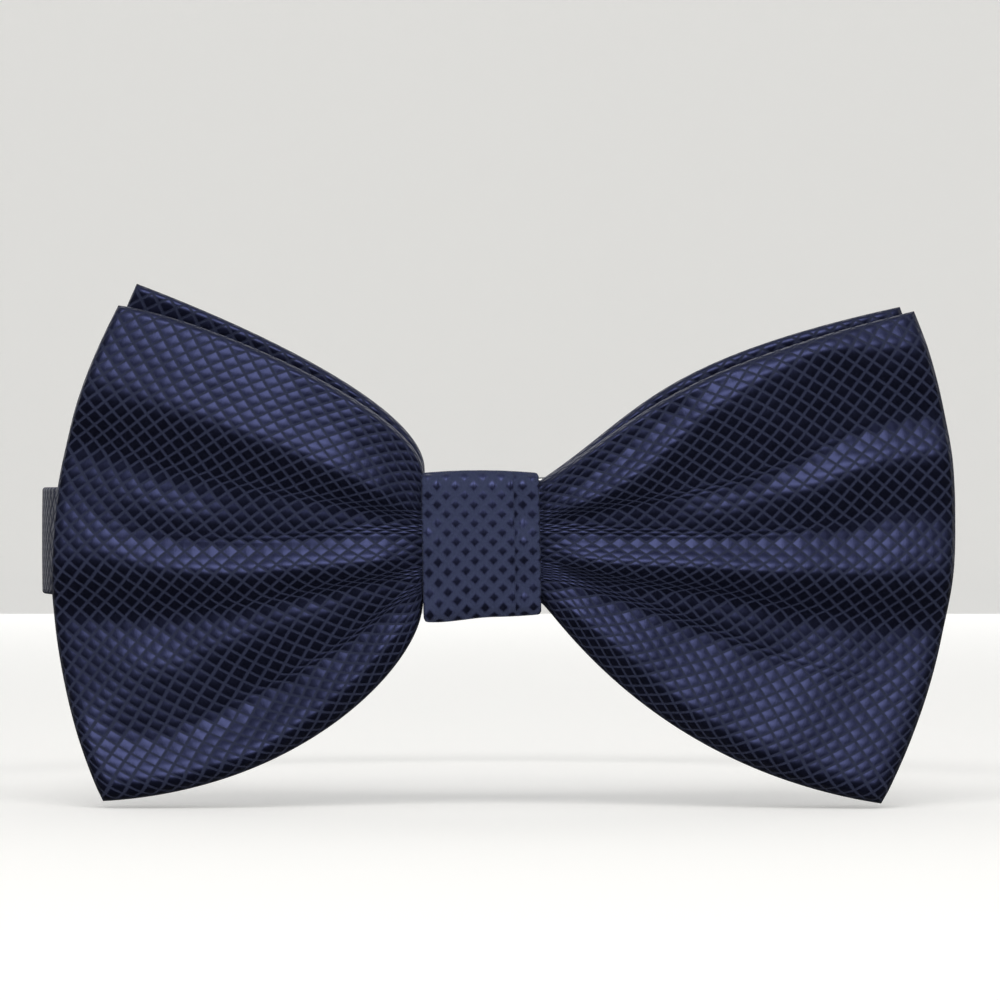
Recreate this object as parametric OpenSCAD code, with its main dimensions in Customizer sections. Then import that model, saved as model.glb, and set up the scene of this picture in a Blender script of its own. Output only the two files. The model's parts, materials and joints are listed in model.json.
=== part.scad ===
// Pre-tied bow tie on an adjustable neck band, in millimetres.
// Z is up, the bow faces -Y, and the origin is the centre of the neck loop.

/* [Bow] */
// Half height of the gathered waist inside the knot
waist_half = 7.2; // [6:0.1:8]
// Right wing, reach of the upper corner
right_top_x = 56.9; // [48:0.1:62]
// Right wing, height of the upper corner
right_top_z = 30.7; // [24:0.1:36]
// Right wing, reach of the lower corner
right_low_x = 52.2; // [46:0.1:60]
// Right wing, depth of the lower corner
right_low_z = 34.2; // [24:0.1:38]
// Right wing, how far the side bulges past the corners
right_bulge = 7.7; // [2:0.1:12]
// Left wing, reach of the upper corner
left_top_x = 48.3; // [42:0.1:60]
// Left wing, height of the upper corner
left_top_z = 31.4; // [24:0.1:36]
// Left wing, reach of the lower corner
left_low_x = 50.1; // [42:0.1:60]
// Left wing, depth of the lower corner
left_low_z = 33.9; // [24:0.1:38]
// Left wing, how far the side bulges past the corners
left_bulge = 8.0; // [2:0.1:12]
// How far the back layer's left corner stands above the front layer's
back_rise = 3.0; // [0:0.1:5]
// How far the wing tips bend back towards the neck
tip_bend = 7.0; // [0:0.5:12]
// Height of the soft pleats on the front layer
pleat_height = 3.4; // [1:0.1:5]
// Thickness of the cloth
cloth = 0.6; // [0.5:0.05:0.9]

/* [Knot] */
// Width of the knot wrap
knot_width = 15.5; // [12:0.1:18]
// Height of the knot wrap
knot_height = 18.9; // [17:0.1:22]
// Sideways shift of the knot wrap
knot_shift = -0.35; // [-1:0.05:1]
// Thickness of the knot wrap
wrap_wall = 0.9; // [0.6:0.05:1.2]

/* [Neck band] */
// Radius of the neck that the band closes on
neck_r = 62; // [50:0.5:75]
// Width of the band
band_width = 15; // [10:0.5:15]
// Thickness of the band
band_thick = 0.8; // [0.6:0.05:1]
// Radial step that lets the right half run over the slider
band_step = 2.85; // [2.8:0.05:3.4]

/* [Clasp and slider] */
// Wire diameter of the eye and of the hook's bar
wire_d = 1.2; // [1:0.1:1.6]
// Clearance of a bar in its cloth fold
bar_play = 0.1; // [0.05:0.01:0.1]
// Distance between the two upright bars of the eye
eye_length = 10; // [8:0.5:12]
// Clear height inside the hook's slot, the eye and the slider
clear_height = 16; // [15.6:0.1:18]
// Thickness of the hook's plate
plate = 0.8; // [0.6:0.05:1]
// Where the slider stands along the band, in degrees
slider_at = 20; // [-45:1:50]
// Length of the slider along the band
slider_length = 11.2; // [9:0.1:14]

/* [Hidden] */
$fn = 64;

navy = "midnightblue";
thread_blue = "darkslateblue";
canvas = "lightgray";
metal = "silver";

// layers through the knot, from the neck outwards
wrap_back = neck_r + 0.5;
lining_back = wrap_back + wrap_wall + 0.05;
lining_wall = 0.3;
strap_back = lining_back + lining_wall + 0.1;
thread_d = 0.4;
thread_back = strap_back + band_thick + 0.1;
back_waist_back = thread_back + thread_d + 0.1;
back_waist = 4.65;
front_waist_back = back_waist_back + back_waist + 0.2;
front_waist = 5.2;
thread_front = front_waist_back + front_waist + 0.1 + thread_d;
lining_front = thread_front + 0.1 + lining_wall;
wrap_front = lining_front + 0.05 + wrap_wall;
knot_mid_z = -0.15;

// ---------- curves ----------
function bez(p, t) = pow(1 - t, 3) * p[0] + 3 * t * pow(1 - t, 2) * p[1]
    + 3 * t * t * (1 - t) * p[2] + pow(t, 3) * p[3];
function edge(sx, sz, cx, cz, a, b) = [[knot_shift + sx * knot_width / 2, sz * waist_half],
    [sx * cx * a[0], sz * cz * a[1]], [sx * cx * b[0], sz * cz * b[1]], [sx * cx, sz * cz]];
function mix(a, b, t) = a + (b - a) * t;
function ease(a, b, t) = let (k = min(1, max(0, (t - a) / (b - a)))) k * k * (3 - 2 * k);
function bump(v, c, w) = exp(-pow((v - c) / w, 2));

// upper edge, lower edge and bulge of each wing, front layer then back layer
front_right = [edge(1, 1, right_top_x, right_top_z, [0.246, 0.521], [0.598, 0.879]),
    edge(1, -1, right_low_x, right_low_z, [0.268, 0.424], [0.632, 0.877]), right_bulge];
front_left = [edge(-1, 1, left_top_x, left_top_z, [0.29, 0.462], [0.559, 0.828]),
    edge(-1, -1, left_low_x, left_low_z, [0.2, 0.59], [0.539, 0.9]), -left_bulge];
back_right = [edge(1, 1, right_top_x - 1.6, right_top_z + 0.7, [0.24, 0.56], [0.58, 0.91]),
    edge(1, -1, right_low_x - 1.7, right_low_z - 1.2, [0.27, 0.4], [0.63, 0.86]), right_bulge - 0.6];
back_left = [edge(-1, 1, left_top_x - 2.2, left_top_z + back_rise, [0.206, 0.567], [0.607, 0.8]),
    edge(-1, -1, left_low_x - 2.1, left_low_z - 1.4, [0.22, 0.5], [0.54, 0.87]), 0.6 - left_bulge];

// a point of the wing seen from the front, s from the knot outwards, v from bottom to top
function wing_x(w, s, v) = mix(bez(w[1], s)[0], bez(w[0], s)[0], (v + 1) / 2)
    + w[2] * s * s * (1 - v * v);
function wing_z(w, s, v) = mix(bez(w[1], s)[1], bez(w[0], s)[1], (v + 1) / 2);
function bend(x) = tip_bend * pow(max(0, abs(x) - knot_width / 2 - 0.4) / 52, 2);

// pleats of the front layer: upper lobe, split ridge, centre ridge, lower lobe
function pleats(s, v) = ease(0, 0.3, s) * mix(1, 0.55, s) * (
    bump(v, 0.48, 0.27) + 0.5 * ease(0.3, 0.6, s) * bump(v, 0.15, 0.1)
    + 0.9 * bump(v, mix(-0.2, -0.03, s), 0.12) + 0.95 * bump(v, mix(-0.9, -0.6, s), 0.26));
function rim(v) = sqrt(1 - pow(v, 6));
function taper(s) = s < 0.88 ? 1 : 0.2 + 0.8 * sqrt(max(0, 1 - pow((s - 0.88) / 0.12, 2)));
function front_y(kind, s, v) = taper(s) * rim(v) * (kind == "front"
    ? mix(front_waist / 2, 1.9, s) + pleat_height * pleats(s, v)
    : mix(back_waist / 2, 1.7, s) + 0.5 * pleats(s, v));
function back_y(kind, s, v) = taper(s) * rim(v)
    * mix((kind == "front" ? front_waist : back_waist) / 2, 1.6, s);
function mid_y(kind) = kind == "front" ? front_waist_back + front_waist / 2
    : back_waist_back + back_waist / 2;
function wings(kind) = kind == "front" ? [front_left, front_right] : [back_left, back_right];

// one closed loop of points across the bow; inset shrinks it for the cavity and the core
function section(kind, w, s, m, reach, inset) = let (y0 = -mid_y(kind))
    concat([for (j = [0 : m]) let (v = reach * (2 * j / m - 1), x = wing_x(w, s, v))
        [x, y0 - max(0.12, front_y(kind, s, v) - inset) + bend(x), wing_z(w, s, v)]],
    [for (j = [m - 1 : -1 : 1]) let (v = reach * (2 * j / m - 1), x = wing_x(w, s, v))
        [x, y0 + max(0.12, back_y(kind, s, v) - inset) + bend(x), wing_z(w, s, v)]]);

module bow_body(kind, n, m, out, reach, inset) {
    w = wings(kind);
    loops = concat([for (i = [n : -1 : 0]) section(kind, w[0], out * i / n, m, reach, inset)],
        [for (i = [0 : n]) section(kind, w[1], out * i / n, m, reach, inset)]);
    k = 2 * m;
    last = (2 * n + 1) * k;
    sides = [for (i = [0 : 2 * n]) for (j = [0 : k - 1]) let (a = i * k + j, b = i * k + (j + 1) % k)
        each [[a, b, a + k], [b, b + k, a + k]]];
    cap = [for (j = [1 : m - 1]) each j == m - 1
        ? [[j, k - j, m]]
        : [[j, k - j, j + 1], [j + 1, k - j, k - j - 1]]];
    caps = concat([[0, k - 1, 1]], cap);
    far = [for (f = caps) [last + f[0], last + f[2], last + f[1]]];
    polyhedron(points = [for (l = loops) each l], faces = concat(sides, caps, far));
}

// ---------- bow ----------
module front_bow() color(navy)
    difference() {
        bow_body("front", 14, 24, 1, 1, 0);
        bow_body("front", 10, 14, 0.9, 0.84, 1.1);
    }

module front_interlining() color(canvas)
    bow_sheet("front");

module back_bow() color(navy)
    difference() {
        bow_body("back", 14, 20, 1, 1, 0);
        bow_body("back", 10, 12, 0.9, 0.84, 0.75);
    }

module back_interlining() color(canvas)
    bow_sheet("back");

// the stiffening canvas between the two faces of a layer
module bow_sheet(kind)
    bow_body(kind, 8, 8, 0.82, 0.7, 9);

// ---------- knot ----------
function corner(cx, cy, r, a0) = [for (a = [a0 : 15 : a0 + 90]) [cx + r * cos(a), cy + r * sin(a)]];
function box_loop(y0, y1, z0, z1, r) = concat(corner(y1 - r, z1 - r, r, 0),
    corner(y0 + r, z1 - r, r, 90), corner(y0 + r, z0 + r, r, 180), corner(y1 - r, z0 + r, r, 270));

// a flat ring round the waist, given by its inner box, its wall and its width across X
module waist_ring(inner, wall, r, x0, x1)
    translate([x1, 0, 0]) rotate([0, -90, 0]) rotate([0, 0, 90]) mirror([1, 0, 0])
        linear_extrude(x1 - x0) difference() {
            polygon(box_loop(inner[0] - wall, inner[1] + wall, inner[2] - wall, inner[3] + wall, r + wall));
            polygon(box_loop(inner[0], inner[1], inner[2], inner[3], r));
        }

wrap_inner = [wrap_back + wrap_wall, wrap_front - wrap_wall,
    knot_mid_z - knot_height / 2 + wrap_wall, knot_mid_z + knot_height / 2 - wrap_wall];
lining_inner = [lining_back + lining_wall, lining_front - lining_wall,
    wrap_inner[2] + 0.05 + lining_wall, wrap_inner[3] - 0.05 - lining_wall];
knot_x0 = knot_shift - knot_width / 2;
knot_x1 = knot_shift + knot_width / 2;

module knot_wrap() color(navy) {
    waist_ring(wrap_inner, wrap_wall, 0.5, knot_x0, knot_x1);
    // pressed fold down the front
    translate([4.1, -wrap_front + 0.15, knot_mid_z])
        cylinder(h = knot_height - 3.4, r = 0.6, center = true);
}

module knot_lining() color(canvas)
    waist_ring(lining_inner, lining_wall, 0.2, knot_x0 + 0.8, knot_x1 - 0.8);

module gathering_thread() color(thread_blue)
    for (x = [-2.4, -0.8, 0.8, 2.4])
        waist_ring([back_waist_back - 0.1, thread_front - thread_d, -waist_half - 0.1, waist_half + 0.1],
            thread_d, 0.3, x - thread_d / 2, x + thread_d / 2);

// hand stitches that close the wrap behind the knot
seam_z = -3.2;
module knot_seam() color(thread_blue)
    for (i = [-4 : 4])
        translate([knot_shift + 1.6 * i, 0, seam_z]) rotate([0, 35, 0]) {
            translate([0, -wrap_back, 0]) cube([0.35, 0.5, 1.5], center = true);
            for (z = [-0.6, 0.6])
                translate([0, -wrap_back + 0.2, z]) rotate([90, 0, 0]) cylinder(h = 0.9, d = 0.3, $fn = 16);
        }

// ---------- neck band ----------
left_r = neck_r + band_thick / 2;
right_r = neck_r + band_step + band_thick / 2;
fold_r = wire_d / 2 + bar_play + band_thick;
hook_r = neck_r + 0.02 + fold_r;
hook_x = -13;
hook_pos = [hook_x, sqrt(hook_r * hook_r - hook_x * hook_x)];
hook_deg = atan2(hook_pos[1], hook_pos[0]);
eye_r = right_r + band_thick / 2 - fold_r - 0.02;
eye_x = 11.5;
eye_pos = [eye_x, sqrt(eye_r * eye_r - eye_x * eye_x)];
eye_deg = atan2(eye_pos[1], eye_pos[0]);
left_end = 228;
right_end = -52;
knot_flat = 8.4;
strap_y = -(strap_back + band_thick / 2);

function polar(r, a) = [r * cos(a), r * sin(a)];
// a ribbon of the given thickness along a list of points, with its end directions if they are known
function side(p, t, d0, d1) = [for (i = [0 : len(p) - 1])
    let (c = p[min(len(p) - 1, i + 1)] - p[max(0, i - 1)],
        d = i == 0 && d0 != undef ? d0 : i == len(p) - 1 && d1 != undef ? d1 : c / norm(c))
    p[i] + t * [-d[1], d[0]]];
function reversed(p) = [for (i = [len(p) - 1 : -1 : 0]) p[i]];
module ribbon(path, t, d0, d1)
    linear_extrude(band_width, center = true)
        polygon(concat(side(path, t / 2, d0, d1), reversed(side(path, -t / 2, d0, d1))));
module ring_arc(r0, r1, a0, a1)
    rotate([0, 0, a0]) rotate_extrude(angle = a1 - a0, $fn = 180)
        translate([r0, -band_width / 2]) square([r1 - r0, band_width]);
// from the knot, where the band is flat, out to the arc of the given radius
function run_out(sx, r, a) = let (p = polar(r, a), q = [sx * knot_flat, strap_y], pull = 11)
    [for (i = [0 : 12]) bez([q, q + [sx * pull, 0], p + pull * sx * [sin(a), -cos(a)], p], i / 12)];
function onward(a) = [-sin(a), cos(a)];

module neck_band() color(navy)
    difference() {
        union() {
            // through the knot
            ribbon(concat(reversed(run_out(-1, left_r, left_end)), run_out(1, right_r, right_end)),
                band_thick, onward(left_end), onward(right_end));
            // left half, against the neck
            ring_arc(neck_r, neck_r + band_thick, hook_deg + 0.4, left_end);
            // fold round the hook's bar and its tail
            translate([hook_pos[0], hook_pos[1], 0]) cylinder(h = band_width, r = fold_r, center = true);
            ribbon([for (i = [0 : 12]) polar(mix(hook_r + fold_r - band_thick / 2 - 0.1,
                left_r + band_thick + 0.05, ease(0.1, 0.5, i / 12)), hook_deg + 0.6 + 14 * i / 12)], band_thick);
            // right half, over the slider
            ring_arc(right_r - band_thick / 2, right_r + band_thick / 2, right_end, eye_deg - 0.4);
            // fold round the eye's bar and the start of the return
            translate([eye_pos[0], eye_pos[1], 0]) cylinder(h = band_width, r = fold_r, center = true);
            ribbon([for (i = [0 : 8]) polar(mix(return_r, eye_r - fold_r + band_thick / 2 + 0.1,
                ease(0.2, 0.9, i / 8)), mix(return_end, eye_deg - 0.8, i / 8))], return_thick);
        }
        translate([hook_pos[0], hook_pos[1], 0])
            cylinder(h = band_width + 1, r = wire_d / 2 + bar_play, center = true);
        translate([eye_pos[0], eye_pos[1], 0])
            cylinder(h = band_width + 1, r = wire_d / 2 + bar_play, center = true);
    }

// stitches that hold the band to the back of the knot
module band_knot_tack() color(thread_blue)
    for (x = [-5.2, 4.6])
        for (z = [1.5, 3, 4.5])
            translate([x, -wrap_back + 0.2, z]) {
                rotate([90, 0, 0]) cylinder(h = strap_back + band_thick - wrap_back + 0.25, d = 0.35, $fn = 16);
                translate([0, -0.15, -0.5]) cube([0.35, 0.3, 1.2], center = true);
            }

// a block of crossing stitches through the layers of the band, on the band's outer face
module bartack(r0, r1, a)
    for (k = [-1 : 1])
        rotate([0, 0, a + 0.9 * k]) {
            translate([r1 + 0.05, 0, 0]) cube([0.3, 0.35, band_width - 3], center = true);
            for (z = [-5.5 : 2.2 : 5.6])
                translate([r0, 0, z]) rotate([0, 90, 0]) cylinder(h = r1 - r0, d = 0.3, $fn = 16);
        }

module hook_end_bartack() color(thread_blue)
    bartack(neck_r + 0.1, left_r + 1.5 * band_thick + 0.05, hook_deg + 11.5);

// ---------- slider ----------
return_thick = 0.75;
loop_r = [neck_r, neck_r + return_thick];
return_r = neck_r + 1.8 + return_thick / 2;
return_end = 72;
bar_r = [neck_r + 0.95, neck_r + 1.75];
slider_top = neck_r + band_step + band_thick + 0.2;

// inner return of the band, from the slider to the eye
module band_return() color(navy)
    ring_arc(return_r - return_thick / 2, return_r + return_thick / 2, slider_at + 7.5, return_end - 0.1);

module slider() color(metal)
    rotate([0, 0, slider_at]) {
        bar_box(bar_r[0], bar_r[1], -1.2, 1.2);
        for (y = [-slider_length / 2, slider_length / 2 - 1.4])
            bar_box(slider_top, slider_top + 1, y, y + 1.4);
        for (z = [-1, 1])
            translate([(bar_r[0] + slider_top + 1) / 2, 0, z * (clear_height / 2 + 0.7)])
                cube([slider_top + 1 - bar_r[0], slider_length, 1.4], center = true);
    }
module bar_box(x0, x1, y0, y1)
    translate([x0, y0, -clear_height / 2 - 0.7]) cube([x1 - x0, y1 - y0, clear_height + 1.4]);

// end of the band, folded round the slider's middle bar
module band_slider_end() color(navy)
    rotate([0, 0, slider_at]) {
        ring_arc(return_r - return_thick / 2, return_r + return_thick / 2, -1.9, 7.3);
        ring_arc(loop_r[0], return_r, -1.9, -1.2);
        ring_arc(loop_r[0], loop_r[1], -1.5, 1.4);
        ribbon([for (i = [0 : 10]) polar(mix((loop_r[0] + loop_r[1]) / 2, return_r - return_thick - 0.05,
            ease(0, 0.6, i / 10)), 1.3 + 6 * i / 10)], return_thick);
    }

module slider_end_bartack() color(thread_blue)
    rotate([0, 0, slider_at]) bartack(return_r - 1.5 * return_thick, return_r + return_thick / 2 - 0.1, 5.7);

// ---------- clasp ----------
eye_bar = [eye_pos[0] - sqrt(eye_length * eye_length - 1.89 * 1.89), eye_pos[1] + 1.89];
wire_end = clear_height / 2 + wire_d;

module eye() color(metal) {
    for (p = [eye_pos, eye_bar])
        translate([p[0], p[1], 0]) cylinder(h = 2 * wire_end, d = wire_d, center = true);
    for (z = [-1, 1])
        translate([eye_bar[0], eye_bar[1], z * (clear_height / 2 + wire_d / 2)])
            rotate([0, 0, atan2(eye_pos[1] - eye_bar[1], eye_pos[0] - eye_bar[0])])
                rotate([0, 90, 0]) cylinder(h = eye_length, d = wire_d - 0.1);
}

// the hook turns about its own bar; rho is the distance from that bar
to_bar = [eye_bar[0] - hook_pos[0], eye_bar[1] - hook_pos[1]];
rho_bar = norm(to_bar);
tongue_play = 1.0;
lip = 0.4;
rho_tongue = rho_bar + wire_d / 2 + tongue_play;
over_bar = asin((wire_d / 2 + 0.4 + plate / 2) / rho_bar);
under_bar = asin((wire_d / 2 + 0.6 + plate) / rho_bar);
plate_deg = atan2(to_bar[1], to_bar[0]) + over_bar;
tongue_half = 4;

module hook() color(metal)
    translate([hook_pos[0], hook_pos[1], 0]) rotate([0, 0, plate_deg]) {
        cylinder(h = 2 * wire_end + 0.4, d = wire_d, center = true);
        rotate([90, 0, 0]) linear_extrude(plate, center = true) difference() {
            polygon([[0, -wire_end - 0.2], [6, -wire_end - 0.2], [12, -tongue_half],
                [rho_tongue + plate, -tongue_half], [rho_tongue + plate, tongue_half],
                [12, tongue_half], [6, wire_end + 0.2], [0, wire_end + 0.2]]);
            translate([-1, -clear_height / 2]) square([4.4, clear_height]);
        }
        rotate([0, 0, -over_bar - under_bar]) {
            rotate_extrude(angle = over_bar + under_bar, $fn = 180)
                translate([rho_tongue, -tongue_half]) square([plate, 2 * tongue_half]);
            translate([rho_tongue - lip, 0, -tongue_half]) cube([lip + plate / 2, plate, 2 * tongue_half]);
        }
    }

// ---------- assembly ----------
front_bow();
front_interlining();
back_bow();
back_interlining();
gathering_thread();
knot_wrap();
knot_lining();
knot_seam();
neck_band();
band_knot_tack();
hook_end_bartack();
band_return();
hook();
eye();
slider();
band_slider_end();
slider_end_bartack();
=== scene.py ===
"""Pre-tied bow tie: two gathered bow layers, a wrapped knot and a neck band with hook, eye and slider."""

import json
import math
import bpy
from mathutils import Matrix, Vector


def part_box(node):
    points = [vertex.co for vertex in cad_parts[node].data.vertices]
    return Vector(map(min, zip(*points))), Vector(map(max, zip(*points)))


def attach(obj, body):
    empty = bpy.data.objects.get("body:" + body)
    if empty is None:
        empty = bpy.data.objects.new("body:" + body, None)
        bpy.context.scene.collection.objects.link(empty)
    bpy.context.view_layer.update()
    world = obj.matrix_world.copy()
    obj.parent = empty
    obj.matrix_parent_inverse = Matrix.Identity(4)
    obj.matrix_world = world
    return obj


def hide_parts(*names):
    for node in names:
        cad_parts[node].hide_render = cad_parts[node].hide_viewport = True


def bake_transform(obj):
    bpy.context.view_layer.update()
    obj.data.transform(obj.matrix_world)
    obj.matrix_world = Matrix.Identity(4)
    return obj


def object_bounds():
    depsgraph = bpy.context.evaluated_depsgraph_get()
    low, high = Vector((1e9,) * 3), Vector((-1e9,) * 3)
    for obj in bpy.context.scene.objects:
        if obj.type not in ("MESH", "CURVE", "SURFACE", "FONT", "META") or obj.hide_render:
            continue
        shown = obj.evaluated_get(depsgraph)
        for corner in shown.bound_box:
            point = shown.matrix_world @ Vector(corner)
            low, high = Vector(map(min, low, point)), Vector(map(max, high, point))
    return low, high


bl_info = {
    "name": "Pre-tied bow tie",
    "version": (1, 0, 0),
    "blender": (4, 5, 0),
    "location": "3D View > Sidebar > Bow tie",
    "description": "Builds a pre-tied bow tie with its knot, neck band, clasp and slider",
    "category": "Add Mesh",
}

from functools import partial

import bpy
import numpy as np
from bpy.props import FloatProperty, FloatVectorProperty, PointerProperty
from mathutils import Matrix, Vector

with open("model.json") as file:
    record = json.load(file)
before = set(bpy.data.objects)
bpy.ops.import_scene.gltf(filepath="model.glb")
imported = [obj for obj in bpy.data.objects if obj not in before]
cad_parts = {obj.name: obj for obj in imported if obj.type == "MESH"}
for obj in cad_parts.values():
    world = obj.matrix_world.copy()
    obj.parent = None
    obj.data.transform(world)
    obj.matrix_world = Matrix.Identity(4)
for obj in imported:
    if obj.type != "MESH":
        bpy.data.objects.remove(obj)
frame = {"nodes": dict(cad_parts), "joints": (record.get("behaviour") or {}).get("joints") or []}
CAD_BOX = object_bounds()

MM = 0.001
LENGTH = {"subtype": "DISTANCE", "unit": "LENGTH", "precision": 5}
COLOUR = {"subtype": "COLOR", "size": 3, "min": 0, "max": 1}


def cad_box(node):
    """The lowest and highest corner of a CAD node, in millimetres."""
    low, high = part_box(node)
    return np.array(low) / MM, np.array(high) / MM


def joint_place(name):
    """Where a joint's axis stands, seen from above, in millimetres."""
    joint = next(j for j in frame["joints"] if j["name"] == name)
    return np.round(np.array(joint["pos_m"][:2]) / MM, 4)


KNOT_LOW, KNOT_HIGH = cad_box("knot_wrap")
SLIDER_LOW, SLIDER_HIGH = cad_box("slider")
EYE_LOW, EYE_HIGH = cad_box("eye")
HOOK_HIGH = cad_box("hook")[1]


# ---------- settings ----------
class ClothSettings(bpy.types.PropertyGroup):
    cell_pitch: FloatProperty(
        name="Lattice pitch", description="Distance between the lines of the woven lattice",
        default=0.0017, min=0.0008, max=0.004, **LENGTH)
    knot_pitch: FloatProperty(
        name="Knot lattice pitch", description="Distance between the lattice lines on the knot",
        default=0.00171, min=0.0008, max=0.004, **LENGTH)
    line_share: FloatProperty(
        name="Line width", description="Width of a lattice line as a share of the pitch",
        default=0.2, min=0.05, max=0.5, subtype="FACTOR")
    satin: FloatVectorProperty(
        name="Satin", description="Colour of the shiny cells", default=(0.037, 0.043, 0.1), **COLOUR)
    matt: FloatVectorProperty(
        name="Matt thread", description="Colour of the lattice lines",
        default=(0.018, 0.023, 0.052), **COLOUR)
    canvas: FloatVectorProperty(
        name="Canvas", description="Colour of the interlining", default=(0.42, 0.41, 0.38), **COLOUR)
    thread: FloatVectorProperty(
        name="Thread", description="Colour of the sewing thread", default=(0.016, 0.02, 0.055), **COLOUR)


class BowSettings(bpy.types.PropertyGroup):
    fold_scale: FloatProperty(
        name="Fold depth", description="Depth of the folds as a share of their usual depth",
        default=1.0, min=0.2, max=1.6, subtype="FACTOR")
    edge_radius: FloatProperty(
        name="Edge radius", description="Radius of the pressed edges of the wings",
        default=0.001, min=0.0004, max=0.003, **LENGTH)
    tip_bend: FloatProperty(
        name="Tip bend", description="How far the wing tips bend back towards the neck",
        default=0.007, min=0, max=0.012, **LENGTH)


class KnotSettings(bpy.types.PropertyGroup):
    crown: FloatProperty(
        name="Crown", description="How far the middle of the knot stands proud of its edges",
        default=0.0009, min=0, max=0.002, **LENGTH)
    fold_at: FloatProperty(
        name="Fold position", description="Where the pressed fold runs, from the middle of the bow",
        default=0.0041, min=0, max=0.006, **LENGTH)
    fold_step: FloatProperty(
        name="Fold step", description="Height of the pressed fold",
        default=0.0006, min=0, max=0.001, **LENGTH)


class MetalSettings(bpy.types.PropertyGroup):
    colour: FloatVectorProperty(
        name="Plating", description="Colour of the plated hook, eye and slider",
        default=(0.72, 0.72, 0.7), **COLOUR)
    wire: FloatProperty(
        name="Wire", description="Diameter of the eye's wire and of the hook's bar",
        default=0.0012, min=0.001, max=0.0016, **LENGTH)
    plate: FloatProperty(
        name="Plate", description="Thickness of the hook's plate",
        default=0.0008, min=0.0006, max=0.001, **LENGTH)


class StageSettings(bpy.types.PropertyGroup):
    floor: FloatVectorProperty(
        name="Floor", description="Colour of the floor and of the wall behind",
        default=(0.7, 0.695, 0.68), **COLOUR)
    key: FloatProperty(
        name="Key light", description="Power of the soft light above and in front",
        default=7.0, min=0, max=200, unit="POWER")
    back: FloatProperty(
        name="Back light", description="Power of the soft light above and behind",
        default=6.0, min=0, max=200, unit="POWER")
    wash: FloatProperty(
        name="Floor light", description="Power of the light over the floor",
        default=4.0, min=0, max=500, unit="POWER")
    distance: FloatProperty(
        name="Camera distance", description="Distance from the camera to the bow",
        default=0.9, min=0.3, max=3, **LENGTH)
    width: FloatProperty(
        name="View width", description="Width of the view at the bow",
        default=0.131, min=0.05, max=0.5, **LENGTH)


class BowTieSettings(bpy.types.PropertyGroup):
    cloth: PointerProperty(type=ClothSettings)
    bow: PointerProperty(type=BowSettings)
    knot: PointerProperty(type=KnotSettings)
    metal: PointerProperty(type=MetalSettings)
    stage: PointerProperty(type=StageSettings)


def settings():
    return bpy.context.scene.bow_tie


# ---------- numbers and curves ----------
def ease(a, b, t):
    k = np.clip((t - a) / (b - a), 0, 1)
    return k * k * (3 - 2 * k)


def bezier(points, t):
    p = np.array(points, float)
    t = np.asarray(t, float)[..., None]
    return ((1 - t) ** 3 * p[0] + 3 * t * (1 - t) ** 2 * p[1]
            + 3 * t * t * (1 - t) * p[2] + t ** 3 * p[3])


def soften(values, radius, axis):
    """Running average with a bell-shaped weight, along one axis of a grid."""
    weight = np.exp(-0.5 * (np.arange(-3 * radius, 3 * radius + 1) / radius) ** 2)
    weight /= weight.sum()
    pad = [(0, 0)] * values.ndim
    pad[axis] = (3 * radius, 3 * radius)
    wide = np.pad(values, pad, mode="edge")
    return np.apply_along_axis(lambda row: np.convolve(row, weight, "valid"), axis, wide)


def along(points, axis):
    """Distance from the first point to each one, along an axis of a grid of points."""
    step = np.linalg.norm(np.diff(points, axis=axis), axis=-1)
    start = np.zeros_like(np.take(step, [0], axis=axis))
    return np.concatenate([start, np.cumsum(step, axis=axis)], axis=axis)


# ---------- meshes ----------
# points closer than this, in metres, are merged
WELD = 0.00002


def clear_selection():
    if bpy.context.object and bpy.context.object.mode != "OBJECT":
        bpy.ops.object.mode_set(mode="OBJECT")
    bpy.ops.object.select_all(action="DESELECT")


def select_only(*pieces):
    """Selects the pieces and makes the first one active."""
    clear_selection()
    for piece in pieces:
        piece.select_set(True)
    bpy.context.view_layer.objects.active = pieces[0]


def edit(piece):
    select_only(piece)
    bpy.ops.object.mode_set(mode="EDIT")


def point_outwards(piece):
    edit(piece)
    bpy.ops.mesh.select_all(action="SELECT")
    bpy.ops.mesh.normals_make_consistent(inside=False)
    bpy.ops.object.mode_set(mode="OBJECT")


def mesh_piece(name, points, faces, weave=None):
    """A piece from points in millimetres; weave holds the cloth's own coordinates, one pair a point."""
    mesh = bpy.data.meshes.new(name)
    mesh.from_pydata((np.asarray(points) * MM).tolist(), [], [list(map(int, f)) for f in faces])
    mesh.validate()
    if weave is not None:
        layer = mesh.uv_layers.new(name="Weave")
        corner = np.zeros(len(mesh.loops), np.int32)
        mesh.loops.foreach_get("vertex_index", corner)
        layer.data.foreach_set("uv", np.asarray(weave, np.float32)[corner].ravel())
    mesh.polygons.foreach_set("use_smooth", [True] * len(mesh.polygons))
    piece = bpy.data.objects.new(name, mesh)
    bpy.context.scene.collection.objects.link(piece)
    return piece


def quads(index, flip=False):
    """Faces between the rows and columns of a grid of point numbers."""
    a, b, c, d = index[:-1, :-1], index[1:, :-1], index[1:, 1:], index[:-1, 1:]
    ring = (a, d, c, b) if flip else (a, b, c, d)
    return np.stack(ring, axis=-1).reshape(-1, 4)


def shell(name, front, back, weave):
    """A closed cloth shell from two grids of points that share their outline."""
    rows, cols = front.shape[:2]
    inner = np.zeros((rows, cols), bool)
    inner[1:-1, 1:-1] = True
    index = np.arange(rows * cols).reshape(rows, cols)
    back_index = index.copy()
    back_index[inner] = rows * cols + np.arange(inner.sum())
    points = np.concatenate([front.reshape(-1, 3), back[inner]])
    pairs = np.concatenate([weave.reshape(-1, 2), weave[inner]])
    faces = np.concatenate([quads(index), quads(back_index, flip=True)])
    return mesh_piece(name, points, faces, pairs)


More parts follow.
